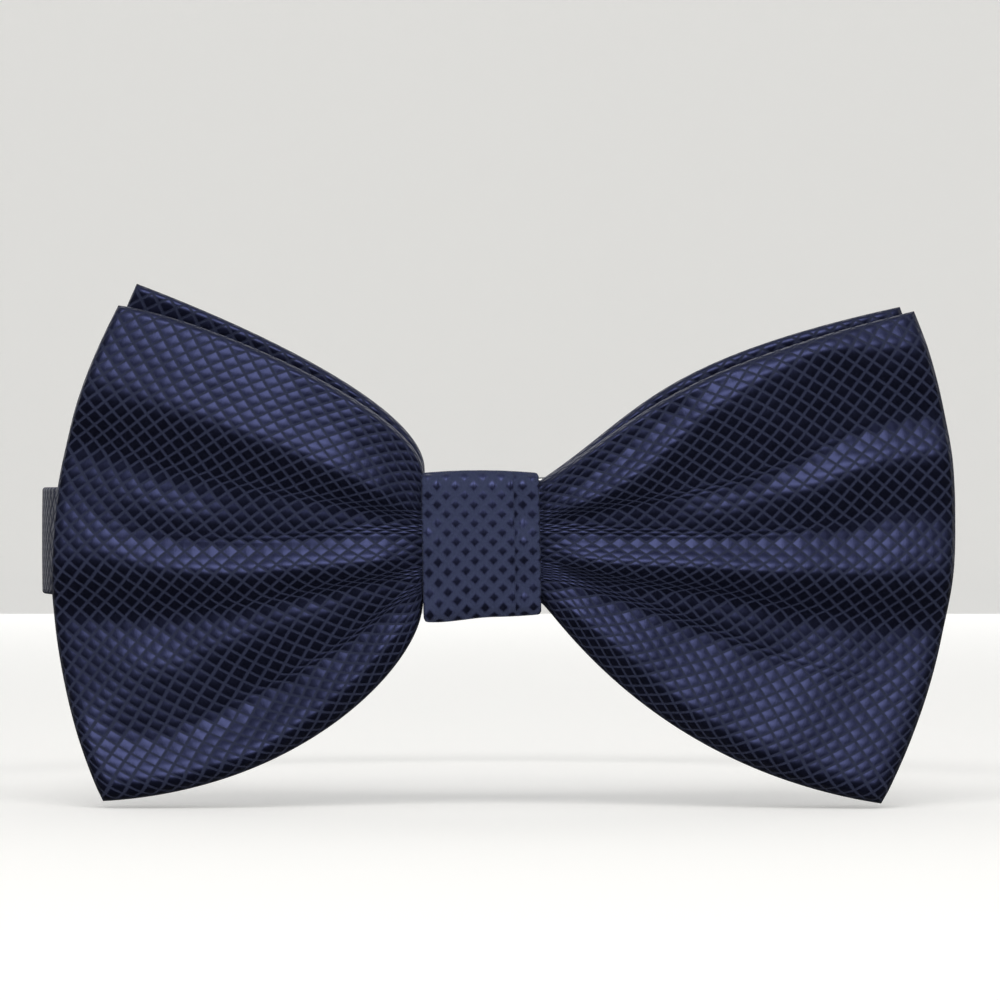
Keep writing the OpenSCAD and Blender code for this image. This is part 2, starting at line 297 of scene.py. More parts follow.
def sweep(name, sections, weave):
    """A strip from closed sections that follow one another; the sections' points go round them."""
    count, around = sections.shape[:2]
    index = np.arange(count * around).reshape(count, around)
    closed = np.concatenate([index, index[:, :1]], axis=1)
    faces = [*quads(closed), index[0], index[-1][::-1]]
    return mesh_piece(name, sections.reshape(-1, 3), faces, weave.reshape(-1, 2))


def finish_piece(piece, finish, body, node):
    """Gives a piece its material and states what it rides on and which CAD node it replaces."""
    piece.data.materials.clear()
    piece.data.materials.append(finish)
    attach(piece, body)
    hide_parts(node)


# ---------- bow layers ----------
KNOT_LEFT, KNOT_RIGHT, WAIST = float(KNOT_LOW[0]), float(KNOT_HIGH[0]), 8.3


def wing_edge(side, up, reach, height, near, far):
    """Control points of a wing's upper or lower edge, from the knot to the corner."""
    start = KNOT_RIGHT if side > 0 else KNOT_LEFT
    waist = WAIST if up > 0 else WAIST - 0.4
    return [(start, up * waist), (side * reach * near[0], up * height * near[1]),
            (side * reach * far[0], up * height * far[1]), (side * reach, up * height)]


# each wing in millimetres: upper edge, lower edge and how far its side bulges past the corners
WINGS = {
    "front_right": (wing_edge(1, 1, 56.9, 30.7, (0.365, 0.522), (0.386, 0.718)),
                    wing_edge(1, -1, 52.2, 34.2, (0.154, 0.2), (0.387, 0.855)), 7.7),
    "front_left": (wing_edge(-1, 1, 48.3, 31.4, (0.114, 0.525), (0.78, 0.96)),
                   wing_edge(-1, -1, 50.1, 33.9, (0.156, 0.436), (0.448, 0.952)), -8.0),
    "back_right": (wing_edge(1, 1, 55.3, 31.4, (0.374, 0.546), (0.395, 0.763)),
                   wing_edge(1, -1, 50.5, 33.0, (0.205, 0.2), (0.333, 0.769)), 7.1),
    "back_left": (wing_edge(-1, 1, 46.1, 34.4, (0.104, 0.523), (0.803, 0.9)),
                  wing_edge(-1, -1, 48.0, 32.5, (0.16, 0.347), (0.4, 0.92)), -7.4),
}

# distances from the middle of the bow at which the fold lines below are given
STATIONS = (9, 18, 30, 42, 54)
# fold lines of the front layer from the lower edge to the upper one: name, height of the line above
# the middle of the bow, and how far it stands forward; an edge line has no height of its own
LEFT_FOLDS = (
    ("lower edge", None, (0.0, 0.9, 2.4, 4.4, 6.4)),
    ("lower roll", (-9.2, -19.8, -28.4, -31.8, -32.2), (0.8, 2.8, 4.9, 6.4, 7.8)),
    ("lower valley", (-6.2, -13.8, -20.6, -25.2, -25.5), (0.0, 0.2, 0.8, 3.2, 6.3)),
    ("lower ridge", (-5.4, -7.8, -12.0, -16.6, -18.0), (0.1, 1.5, 2.3, 3.5, 2.2)),
    ("under the middle", (-4.6, -6.2, -8.8, -9.8, -9.6), (0.1, 1.2, 1.7, 0.7, 0.4)),
    ("middle ridge", (-2.0, -3.1, -3.9, -4.0, -2.6), (1.2, 3.4, 4.2, 3.9, 4.0)),
    ("over the middle", (1.0, 0.8, -0.4, 0.2, 3.4), (0.2, 1.3, 2.0, 2.0, 2.4)),
    ("upper ridge", (1.8, 2.4, 2.8, 3.6, 8.0), (0.2, 1.3, 2.1, 2.8, 1.1)),
    ("upper valley", (2.6, 4.4, 6.4, 9.2, 13.6), (0.2, 1.2, 1.8, 1.5, 0.7)),
    ("upper roll", (3.9, 8.8, 13.6, 17.4, 18.6), (1.3, 4.2, 4.6, 4.2, 3.7)),
    ("upper step", (6.2, 14.6, 23.4, 28.6, 29.4), (0.8, 2.2, 1.9, 1.6, 1.3)),
    ("upper edge", None, (0.3, 1.2, 1.0, 0.9, 0.8)),
)
RIGHT_FOLDS = (
    ("lower edge", None, (0.0, 0.9, 2.6, 4.6, 7.2)),
    ("lower roll", (-6.8, -14.8, -24.8, -30.6, -33.4), (0.9, 3.2, 5.6, 7.1, 8.4)),
    ("lower valley", (-4.8, -7.8, -12.2, -17.0, -19.0), (0.2, 0.5, 1.2, 2.6, 3.1)),
    ("lower ridge", (-4.3, -6.8, -9.0, -13.2, -15.5), (0.2, 0.9, 2.0, 1.5, 1.6)),
    ("under the middle", (-3.8, -6.0, -7.0, -9.6, -11.2), (0.1, 1.0, 1.8, 0.7, 0.2)),
    ("middle ridge", (-1.8, -2.9, -3.5, -4.1, -4.6), (1.2, 3.5, 4.4, 4.3, 4.3)),
    ("over the middle", (1.2, 0.7, 0.3, 0.8, 3.6), (0.2, 1.2, 1.7, 1.8, 1.2)),
    ("upper ridge", (2.0, 3.0, 3.6, 6.8, 11.4), (0.2, 1.2, 1.8, 2.9, 3.4)),
    ("upper valley", (2.8, 4.4, 6.2, 10.4, 16.4), (0.2, 1.2, 1.6, 1.3, 0.8)),
    ("upper roll", (3.8, 6.8, 17.6, 25.2, 26.2), (1.2, 3.0, 3.4, 2.8, 2.4)),
    ("upper step", (5.4, 11.6, 21.0, 26.8, 28.2), (0.5, 1.0, 2.0, 1.7, 1.2)),
    ("upper edge", None, (0.4, 1.1, 1.9, 1.4, 0.7)),
)
BACK_FOLDS = (
    ("lower edge", None, (0.0, 0.3, 0.5, 0.6, 0.6)),
    ("lower roll", (-6.2, -12.0, -19.0, -22.0, -23.0), (0.3, 0.8, 1.1, 1.2, 1.2)),
    ("under the middle", (-3.4, -5.6, -8.0, -9.0, -9.5), (0.0, 0.1, 0.1, 0.2, 0.3)),
    ("middle ridge", (0.2, 0.4, 0.5, 0.6, 0.8), (0.3, 0.8, 1.0, 1.0, 0.9)),
    ("over the middle", (3.6, 6.0, 8.6, 9.8, 10.6), (0.0, 0.1, 0.1, 0.2, 0.3)),
    ("upper roll", (6.2, 11.0, 18.0, 23.0, 25.0), (0.3, 0.6, 0.7, 0.8, 0.8)),
    ("upper edge", None, (0.3, 0.7, 0.9, 1.0, 0.9)),
)
# the fold lines keep at least this far apart
LINE_GAP = 0.25
# where the tips start to bend back, and the distance over which they do
BEND_START, BEND_RUN = 8.15, 52
# how much of the front's relief the rear face shares, out from the knot
FOLLOW = 0.82
BOW_LAYERS = {
    # middle plane, half thickness at the waist, half thickness at the tips, folds left and right
    "front": (-72.7, 2.6, 0.95, LEFT_FOLDS, RIGHT_FOLDS),
    "back": (-67.575, 2.32, 0.8, BACK_FOLDS, BACK_FOLDS),
}


def wing_grid(wing, s, v):
    """Points of a wing seen from the front; s from the knot outwards, v from bottom to top."""
    upper, lower, bulge = wing
    top, low = bezier(upper, s), bezier(lower, s)
    k = ((v + 1) / 2)[None, :]
    x = low[:, :1] * (1 - k) + top[:, :1] * k + bulge * (s * s)[:, None] * (1 - v * v)[None, :]
    z = low[:, 1:] * (1 - k) + top[:, 1:] * k
    return x, z


def fold_relief(folds, x, z):
    """How far the cloth stands forward at each point, and the fold lines' heights there."""
    reach = np.arange(0, 70, 0.5)

    def smoothed(values):
        return np.interp(np.abs(x), reach, soften(np.interp(reach, STATIONS, values), 5, 0))

    lines, rises = [], []
    for name, height, rise in folds:
        rises.append(smoothed(rise))
        if height is None:
            edge = z[:, :1] if name == "lower edge" else z[:, -1:]
            lines.append(np.repeat(edge, z.shape[1], axis=1))
        else:
            lines.append(smoothed(height))
    count = len(lines)
    for k in range(1, count - 1):  # the lines stay in order inside the wing
        lines[k] = np.maximum(lines[k], lines[k - 1] + LINE_GAP)
    for k in range(count - 2, 0, -1):
        lines[k] = np.minimum(lines[k], lines[k + 1] - LINE_GAP)
    gaps = [np.maximum(lines[k + 1] - lines[k], 0.1) for k in range(count - 1)]
    slopes = [(rises[k + 1] - rises[k]) / gaps[k] for k in range(count - 1)]
    # a crest or a valley is level, and the cloth runs on smoothly through every other line
    bends = [0.5 * slopes[0]]
    for a, b in zip(slopes, slopes[1:]):
        bends.append(np.where(a * b > 0, 2 * a * b / np.where(np.abs(a + b) > 1e-6, a + b, 1), 0))
    bends.append(0.5 * slopes[-1])
    relief = np.zeros_like(z)
    for k, gap in enumerate(gaps):
        t = np.clip((z - lines[k]) / gap, 0, 1)
        smooth = (rises[k] * (1 + 2 * t) * (1 - t) ** 2 + rises[k + 1] * t * t * (3 - 2 * t)
                  + gap * t * (1 - t) * (bends[k] * (1 - t) - bends[k + 1] * t))
        straight = rises[k] * (1 - t) + rises[k + 1] * t
        inside = (z >= lines[k]) & (z <= lines[k + 1])
        relief = np.where(inside, 0.65 * smooth + 0.35 * straight, relief)
    return relief, lines


def edge_round(distance, radius):
    return np.sqrt(1 - (1 - np.clip(distance / radius, 0, 1)) ** 2)


def cloth_pairs(points, lines, valleys):
    """Heights on the cloth itself, from its middle thread; the cloth is taken up in the valleys."""
    z = points[..., 2]
    height = along(points, 1)
    height = height - np.array([np.interp(0, row, run) for row, run in zip(z, height)])[:, None]
    pair_v = np.zeros_like(height)
    for sign in (-1, 1):
        reach = np.abs(height[:, 0] if sign < 0 else height[:, -1])
        full = reach.max()
        even = (full / reach) ** 0.5
        hidden = 0.6 * (full - reach * even)[:, None]
        own = [k for k in valleys if np.mean(lines[k]) * sign > 0]
        # the take-up lies on the shaded side of each valley
        taken = sum(ease(-0.9, 0.9, sign * (z - lines[k] - 0.9)) for k in own) / max(len(own), 1)
        part = sign * (np.abs(height) * even[:, None] + hidden * taken)
        pair_v = np.where(height * sign >= 0, part, pair_v)
    return pair_v


def bow_points(kind, stations=96, across=150):
    """Front and back grids of one bow layer, left tip to right tip, and its cloth coordinates."""
    plane, waist, tip, left_folds, right_folds = BOW_LAYERS[kind]
    own = settings().bow
    radius, bend = own.edge_radius / MM, own.tip_bend / MM
    run = np.linspace(0, 1, stations + 1)
    s = 0.55 * run + 0.45 * np.sin(run * math.pi / 2)
    run = np.linspace(-1, 1, across + 1)
    v = 0.62 * run + 0.38 * np.sin(run * math.pi / 2)
    fronts, backs, weaves, middles = [], [], [], []
    for side, folds in ((-1, left_folds), (1, right_folds)):
        wing = WINGS[f"{kind}_{'left' if side < 0 else 'right'}"]
        x, z = wing_grid(wing, s, v)
        relief, lines = fold_relief(folds, x, z)
        relief = soften(soften(relief, 2, 0), 2, 1) * own.fold_scale
        start = KNOT_RIGHT if side > 0 else -KNOT_LEFT
        out = np.abs(x) - start
        relief = relief * ease(-0.5, 6, out)
        # small unevenness that no pressed cloth is without
        relief = relief + ease(2, 12, out) * (
            0.16 * np.sin(0.21 * x + 0.33 * z + 1.3 * side) + 0.1 * np.sin(0.47 * x - 0.29 * z + 0.7)
            + 0.05 * np.sin(0.9 * z + 0.35 * x))
        follow = FOLLOW * ease(0.05, 0.75, s)[:, None]
        length = np.linalg.norm(np.diff(bezier(wing[0], np.array([0.0, 1.0])), axis=0))
        gap_side = (1 - s)[:, None] * length * (1.05 - 0.2 * np.abs(v))[None, :]
        gap_high = np.minimum(z[:, -1:] - z, z - z[:, :1])
        # the edges are rounder beside the knot
        tall_radius = radius + 0.9 * (1 - ease(0, 0.2, s))[:, None]
        rim = edge_round(gap_high, tall_radius) * edge_round(gap_side, radius)
        thick = (waist + (tip - waist) * ease(0, 0.8, s))[:, None]
        middle = plane + bend * (np.maximum(0, np.abs(x) - BEND_START) / BEND_RUN) ** 2 - follow * relief
        front = middle - rim * (thick + (1 - follow) * relief)
        back = middle + rim * thick
        grid = [np.stack([x, y, z], axis=-1) for y in (front, back, middle)]
        valleys = [k for k, f in enumerate(folds) if "valley" in f[0] or "the middle" in f[0]]
        pair_v = cloth_pairs(grid[0], lines, valleys)
        pair_u = along(np.stack([x, front, z], axis=-1), 0) + np.abs(x[:1])
        weave = np.stack([side * pair_u, pair_v], axis=-1)
        order = slice(None, None, -1) if side < 0 else slice(None)
        fronts.append(grid[0][order])
        backs.append(grid[1][order])
        middles.append(grid[2][order])
        weaves.append(weave[order])
    return (np.concatenate(fronts), np.concatenate(backs), np.concatenate(weaves), np.concatenate(middles))


def make_interlining(kind):
    """The stiff canvas between the two faces of a layer, on a coarser grid that stops short of its edges."""
    _, _, weave, middle = bow_points(kind, 30, 40)
    keep = (slice(5, -5), slice(6, -6))
    core = middle[keep]
    lift = np.zeros(core.shape[:2])
    lift[1:-1, 1:-1] = 0.14
    face, rear = core.copy(), core.copy()
    face[..., 1] -= lift
    rear[..., 1] += lift
    piece = shell(f"interlining_{kind}", face, rear, weave[keep])
    finish_piece(piece, canvas_material(), "bow_and_band", f"{kind}_interlining")


# ---------- knot ----------
def knot_section(low_y, high_y, low_z, high_z, radius, steps=9):
    """A rounded box in the Y and Z directions, going round once from the middle of its back."""
    corners = ((high_y - radius, high_z - radius, 0), (low_y + radius, high_z - radius, 90),
               (low_y + radius, low_z + radius, 180), (high_y - radius, low_z + radius, 270))
    points = []
    for y, z, start in corners:
        for a in np.radians(np.linspace(start, start + 90, steps)):
            points.append((y + radius * math.cos(a), z + radius * math.sin(a)))
    loop = np.array(points + points[:1])
    step = np.concatenate([[0], np.cumsum(np.linalg.norm(np.diff(loop, axis=0), axis=1))])
    at = np.linspace(0, step[-1], 181)[:-1]
    return np.stack([np.interp(at, step, loop[:, k]) for k in range(2)], axis=1), at


def knot_ring(name, low, high, radius, wall, crown, step, fold_at):
    """A soft strip wrapped once round the waist; low and high are its outer box in millimetres."""
    outer, at = knot_section(low[1], high[1], low[2], high[2], radius)
    run = np.linspace(-1, 1, 61)
    width = 0.75 * run + 0.25 * np.sin(run * math.pi / 2)
    half, middle = (high[0] - low[0]) / 2, (high[0] + low[0]) / 2
    normal = np.roll(outer, -1, axis=0) - np.roll(outer, 1, axis=0)
    normal = np.stack([normal[:, 1], -normal[:, 0]], axis=1)
    normal /= np.linalg.norm(normal, axis=1, keepdims=True)
    centre = np.array([(low[1] + high[1]) / 2, (low[2] + high[2]) / 2])
    normal *= np.sign((normal * (outer - centre)).sum(1))[:, None]
    facing = ease(0.3, 0.95, -normal[:, 0])
    tall = (outer[:, 1] - centre[1]) / (high[2] - centre[1])
    faces = []
    for w in width:
        x = middle + w * half
        soft = 0.5 - 0.5 * edge_round((1 - abs(w)) * half, wall * 0.6)
        rise = crown * (1 - 0.45 * w * w) * np.sqrt(np.clip(1 - tall * tall, 0, 1)) + 0.05 * np.sin(1.1 * x)
        rise = rise - step * (ease(-0.2, 0.2, x - fold_at) - 0.7 * ease(0.5, 3.2, x - fold_at))
        # small puckers beside the fold and beside the left edge
        pucker = np.exp(-((x - fold_at - 1.0) / 1.3) ** 2) + 0.8 * np.exp(-((x - low[0] - 0.8) / 1.6) ** 2)
        rise = rise + 0.65 * step * pucker * (1 + np.sin(0.74 * outer[:, 1] + 1.9)) * facing
        grow = facing * rise + (1 - facing) * 0.4 * crown * (1 - w * w)
        shapes = [outer + normal * (grow - wall * depth)[:, None] for depth in (soft, 1 - soft)]
        # the lower left corner hangs a little
        drop = -1.1 * crown * ease(-0.2, 1, -w) * ease(2, -9, outer[:, 1])
        side = x - 0.02 * crown * (outer[:, 1] - centre[1]) - 0.06 * crown * w * tall * tall
        faces.append([np.stack([side, shape[:, 0], shape[:, 1] + drop], axis=1) for shape in shapes])
    grid = np.array([f[0] for f in faces] + [f[1] for f in faces[::-1][1:-1]])
    across = middle + half * np.concatenate([width, width[::-1][1:-1]])
    across = across + 0.85 * ease(-0.13, 0.13, across - fold_at)  # the weave starts afresh behind the fold
    pairs = np.stack(np.broadcast_arrays(across[:, None], at[None, :]), axis=-1)
    index = np.arange(grid.shape[0] * grid.shape[1]).reshape(grid.shape[:2])
    index = np.concatenate([index, index[:1]], axis=0)
    index = np.concatenate([index, index[:, :1]], axis=1)
    piece = mesh_piece(name, grid.reshape(-1, 3), quads(index), pairs.reshape(-1, 2))
    point_outwards(piece)
    return piece, float(at[-1])


def make_knot():
    own = settings().knot
    shape = own.crown / MM, own.fold_step / MM, own.fold_at / MM
    low, high = KNOT_LOW + (0, 0.15, 0), KNOT_HIGH - (0, 0, 0.35)
    wrap, around = knot_ring("knot", low, high, 1.7, 0.85, *shape)
    finish_piece(wrap, knot_material(), "bow_and_band", "knot_wrap")
    inset = np.array([0.8, 0.95, 0.95])
    lining, _ = knot_ring("knot_core", low + inset, high - inset, 0.8, 0.3, *shape)
    finish_piece(lining, canvas_material(), "bow_and_band", "knot_lining")
    return wrap, around


# ---------- band ----------
def polar(r, degrees):
    a = np.radians(degrees)
    return np.stack([r * np.cos(a), r * np.sin(a)], axis=-1)


def bearing(point):
    return math.degrees(math.atan2(point[1], point[0]))


# the CAD's wire, in millimetres
WIRE = 1.2
# half height of the band in millimetres, and the width of its ribbon laid flat in metres
BAND_HALF, BAND_CUT = 7.5, 0.0154
# distances from the middle of the neck: left half, right half, the return inside it, the tail at the hook,
# and the inner run of the folded end
LEFT_LINE, RIGHT_LINE, RETURN_LINE, TAIL_LINE, END_LINE = 62.4, 65.25, 64.175, 63.25, 62.375
# radius of the folds round the two bars, and the flat stretch through the knot
FOLD_LINE, STRAP_Y = 1.1, -64.25
HOOK_BAR, EYE_BAR = joint_place("hook_release"), joint_place("eye_swing")
EYE_FAR = np.round([EYE_LOW[0] + WIRE / 2, EYE_HIGH[1] - WIRE / 2], 2)
HOOK_DEG, EYE_DEG = bearing(HOOK_BAR), bearing(EYE_BAR)
HOOK_RING = float(np.linalg.norm(HOOK_BAR)) + FOLD_LINE
SLIDER_AT = bearing((SLIDER_LOW + SLIDER_HIGH) / 2)
# where the return leaves the eye's fold, and where it meets the folded end at the slider
RETURN_AT, LOOP_AT = 72.0, SLIDER_AT + 7.5


def arc(r0, r1, a0, a1, steps):
    t = np.linspace(0, 1, steps)
    return polar(r0 + (r1 - r0) * ease(0, 1, t), a0 + (a1 - a0) * t)


def turn(centre, radius, a0, a1, steps=13):
    return centre + polar(np.full(steps, radius), np.linspace(a0, a1, steps))


def run_out(side, r, degrees):
    """From the flat stretch through the knot out to the arc of a half of the band."""
    p, q = polar(r, degrees), np.array([side * 8.4, STRAP_Y])
    tangent = side * np.array([math.sin(math.radians(degrees)), -math.cos(math.radians(degrees))])
    return bezier([q, q + [side * 11, 0], p + 11 * tangent, p], np.linspace(0, 1, 25))


def band_path():
    """The middle line of the band, from the tail at the hook round the neck to the return at the eye."""
    left_end, right_end = 228, -52
    return [
        arc(TAIL_LINE, HOOK_RING, HOOK_DEG + 14.6, HOOK_DEG, 16),
        turn(HOOK_BAR, FOLD_LINE, HOOK_DEG, HOOK_DEG - 180)[1:],
        arc(LEFT_LINE, LEFT_LINE, HOOK_DEG + 0.5, left_end, 90),
        run_out(-1, LEFT_LINE, left_end)[::-1][1:],
        run_out(1, RIGHT_LINE, right_end),
        arc(RIGHT_LINE, RIGHT_LINE, right_end, EYE_DEG - 0.3, 90)[1:],
        turn(EYE_BAR, FOLD_LINE, EYE_DEG, EYE_DEG + 180)[1:],
        arc(np.linalg.norm(EYE_BAR) - FOLD_LINE + 0.02, RETURN_LINE, EYE_DEG - 0.6, RETURN_AT, 12),
    ]


def end_loop_path():
    """The middle line of the folded end: in from the return, round the slider's middle bar and back."""
    loop = (RETURN_LINE - END_LINE) / 2
    centre = polar(END_LINE + loop, SLIDER_AT - 1.3)
    return [
        arc(RETURN_LINE, RETURN_LINE, LOOP_AT - 0.2, SLIDER_AT - 1.2, 14),
        turn(centre, loop, SLIDER_AT, SLIDER_AT - 180)[1:-1],
        arc(END_LINE, END_LINE, SLIDER_AT - 1.2, SLIDER_AT + 1.3, 6),
        arc(END_LINE, END_LINE + 1, SLIDER_AT + 1.5, SLIDER_AT + 4.9, 8),
        arc(END_LINE + 1, END_LINE + 1, SLIDER_AT + 5.1, LOOP_AT - 0.2, 5),
    ]


def strip(name, path, thick=0.8):
    """A flat band with soft edges along a path seen from above, and its length."""
    length = along(path[:, None, :], 0)[:, 0]
    heading = np.gradient(path, axis=0)
    heading /= np.linalg.norm(heading, axis=1, keepdims=True)
    normal = np.stack([-heading[:, 1], heading[:, 0]], axis=1)
    half = thick / 2
    rim = [(half * math.cos(a), BAND_HALF - half + half * math.sin(a)) for a in np.linspace(0, math.pi, 9)]
    lower = [(-x, -z) for x, z in rim]
    faces = np.linspace(BAND_HALF - 2 * half, -BAND_HALF + 2 * half, 15)
    # both faces are a little fuller between the pressed edges
    fuller = half + 0.06 * (1 - (faces / BAND_HALF) ** 2)
    outline = np.array(rim + list(zip(-fuller, faces)) + lower + list(zip(fuller, faces))[::-1])
    edge = np.concatenate([np.linspace(0, 1, len(rim)) * half * math.pi, BAND_HALF - faces,
                           2 * BAND_HALF + np.linspace(0, 1, len(lower)), 2 * BAND_HALF + faces + BAND_HALF])
    rows = []
    for place, n, run in zip(path, normal, length):
        ripple = 0.05 * math.sin(0.31 * run) + 0.03 * math.sin(0.83 * run + 1)
        flat = place[None, :] + n[None, :] * outline[:, :1]
        tall = outline[:, 1] * (1 + 0.004 * ripple)
        rows.append(np.concatenate([flat, tall[:, None]], axis=1))
    weave = np.stack(np.broadcast_arrays(length[:, None], edge[None, :]), axis=-1)
    piece = sweep(name, np.array(rows), weave)
    point_outwards(piece)
    return piece, float(length[-1])


def even_path(parts, step=0.9):
    """One path from its parts, with points at even distances."""
    path = np.concatenate(parts)
    keep = np.concatenate([[True], np.linalg.norm(np.diff(path, axis=0), axis=1) > 0.02])
    path = path[keep]
    length = along(path[:, None, :], 0)[:, 0]
    count = max(8, int(length[-1] / step))
    at = np.linspace(0, length[-1], count)
    tight = np.sort(np.concatenate([at, length]))
    tight = tight[np.concatenate([[True], np.diff(tight) > 0.12])]
    return np.stack([np.interp(tight, length, path[:, k]) for k in range(2)], axis=1)


# ---------- sewing ----------
def stitch(name, length, diameter):
    """One stitch along X, with round ends."""
    clear_selection()
    bpy.ops.mesh.primitive_cylinder_add(vertices=8, radius=diameter / 2 * MM, depth=length * MM,
                                        rotation=(0, math.pi / 2, 0))
    made = bpy.context.object
    made.name = name
    bpy.ops.object.transform_apply(location=True, rotation=True, scale=True)
    apply_modifier(made, "BEVEL", width=diameter * 0.42 * MM, segments=2,
                   limit_method="ANGLE", angle_limit=1.0)
    bpy.ops.object.shade_smooth()
    return made


def place_stitches(name, places, length, diameter):
    """One piece from a stitch copied to each place; a place is a 4 by 4 matrix."""
    made = stitch(name, length, diameter)
    copies = []
    for place in places:
        copy = made.copy()
        copy.data = made.data.copy()
        copy.data.transform(place)
        bpy.context.scene.collection.objects.link(copy)
        copies.append(copy)
    bpy.data.objects.remove(made)
    select_only(*copies)
    bpy.ops.object.join()
    piece = bpy.context.object
    piece.name = name
    return piece


def facing_place(point, x_axis, outward):
    """A matrix whose X runs along a stitch and whose Y points out of the cloth; point is in millimetres."""
    x = Vector(x_axis).normalized()
    y = Vector(outward).normalized()
    z = x.cross(y).normalized()
    y = z.cross(x)
    place = Matrix((x, y, z)).transposed().to_4x4()
    place.translation = Vector(point) * MM
    return place


def bartack_places(r, degrees, rows=22, span=1.8):
    """A dense zigzag across the band."""
    places, half, a = [], 5.8, math.radians(degrees)
    for k in range(rows):
        out = (math.cos(a), math.sin(a), 0)
        slant = 0.28 if k % 2 else -0.28
        height = -half + 2 * half * k / (rows - 1)
        places.append(facing_place((r * out[0], r * out[1], height), (-math.sin(a), math.cos(a), slant), out))
    for shift in (-span / 2, span / 2):
        out = (math.cos(a + shift / r), math.sin(a + shift / r), 0)
        for k in range(6):
            places.append(facing_place((r * out[0], r * out[1], -5 + 2 * k), (0, 0, 1), out))
    return places


# ---------- metal ----------
def pick(piece, kind, test):
    """Selects, in edit mode, the faces, edges or vertices whose middle passes a test."""
    bpy.ops.mesh.select_mode(type=kind)
    bpy.ops.mesh.select_all(action="DESELECT")
    bpy.ops.object.mode_set(mode="OBJECT")
    mesh = piece.data
    where = [v.co / MM for v in mesh.vertices]
    if kind == "VERT":
        for v in mesh.vertices:
            v.select = bool(test(where[v.index]))
    elif kind == "EDGE":
        for e in mesh.edges:
            e.select = bool(test((where[e.vertices[0]] + where[e.vertices[1]]) / 2))
    else:
        for p in mesh.polygons:
            p.select = bool(test(sum((where[i] for i in p.vertices), Vector()) / len(p.vertices)))
    bpy.ops.object.mode_set(mode="EDIT")


def cut(axis, places):
    """Cuts the whole mesh across an axis at each place, in edit mode."""
    normal = Vector([float(axis == k) for k in range(3)])
    for place in places:
        bpy.ops.mesh.select_all(action="SELECT")
        bpy.ops.mesh.bisect(plane_co=normal * place * MM, plane_no=normal)


def apply_modifier(piece, kind, **values):
    modifier = piece.modifiers.new(kind.lower(), kind)
    for key, value in values.items():
        setattr(modifier, key, value)
    select_only(piece)
    bpy.ops.object.modifier_apply(modifier=modifier.name)


def mirror_down(piece):
    """Closes an upper half along the middle of the band with its mirrored lower half."""
    apply_modifier(piece, "MIRROR", use_axis=(False, False, True), use_clip=True, merge_threshold=WELD)


def settle(piece, degrees, place=(0, 0)):
    """Turns a finished piece about Z and puts it in its place in millimetres, both in its mesh."""
    spot = Matrix.Translation((place[0] * MM, place[1] * MM, 0))
    piece.data.transform(spot @ Matrix.Rotation(math.radians(degrees), 4, "Z"))
    piece.data.update()


def wire_frame(name, wide, tall, radius, corner):
    """A closed rectangle of round wire in the X and Z directions, drawn and spun round four corners."""
    clear_selection()
    bpy.ops.mesh.primitive_circle_add(vertices=16, radius=radius * MM, location=(0, 0, 0))
    piece = bpy.context.object
    piece.name = name
    bpy.ops.object.mode_set(mode="EDIT")
    bpy.ops.mesh.select_all(action="SELECT")
    # the section starts on the left side and travels up, right, down and left
    bpy.ops.transform.translate(value=(-wide / 2 * MM, 0, 0))
    heading = [Vector(v) for v in ((0, 0, 1), (1, 0, 0), (0, 0, -1), (-1, 0, 0))]
    runs = [tall / 2 - corner, wide - 2 * corner, tall - 2 * corner, wide - 2 * corner, tall / 2 - corner]
    place = Vector((-wide / 2, 0, 0))
    for k, run in enumerate(runs):
        ahead, inward = heading[k % 4], heading[(k + 1) % 4]
        bpy.ops.mesh.extrude_region_move(TRANSFORM_OT_translate={"value": ahead * run * MM})
        place += ahead * run
        if k < 4:
            centre = place + inward * corner
            bpy.ops.mesh.spin(steps=6, angle=-math.pi / 2, center=centre * MM, axis=(0, 1, 0), dupli=False)
            place = centre + ahead * corner
    bpy.ops.mesh.select_all(action="SELECT")
    bpy.ops.mesh.remove_doubles(threshold=WELD)
    bpy.ops.mesh.normals_make_consistent(inside=False)
    bpy.ops.object.mode_set(mode="OBJECT")
    bpy.ops.object.shade_smooth()
    return piece


def make_eye():
    wire = settings().metal.wire / MM
    wide = float(np.linalg.norm(EYE_FAR - EYE_BAR))
    tall = float(EYE_HIGH[2] - EYE_LOW[2]) - wire
    piece = wire_frame("eye_loop", wide, tall, wire / 2, 1.2)
    settle(piece, bearing(EYE_BAR - EYE_FAR), (EYE_FAR + EYE_BAR) / 2)
    finish_piece(piece, metal_material(), "eye", "eye")


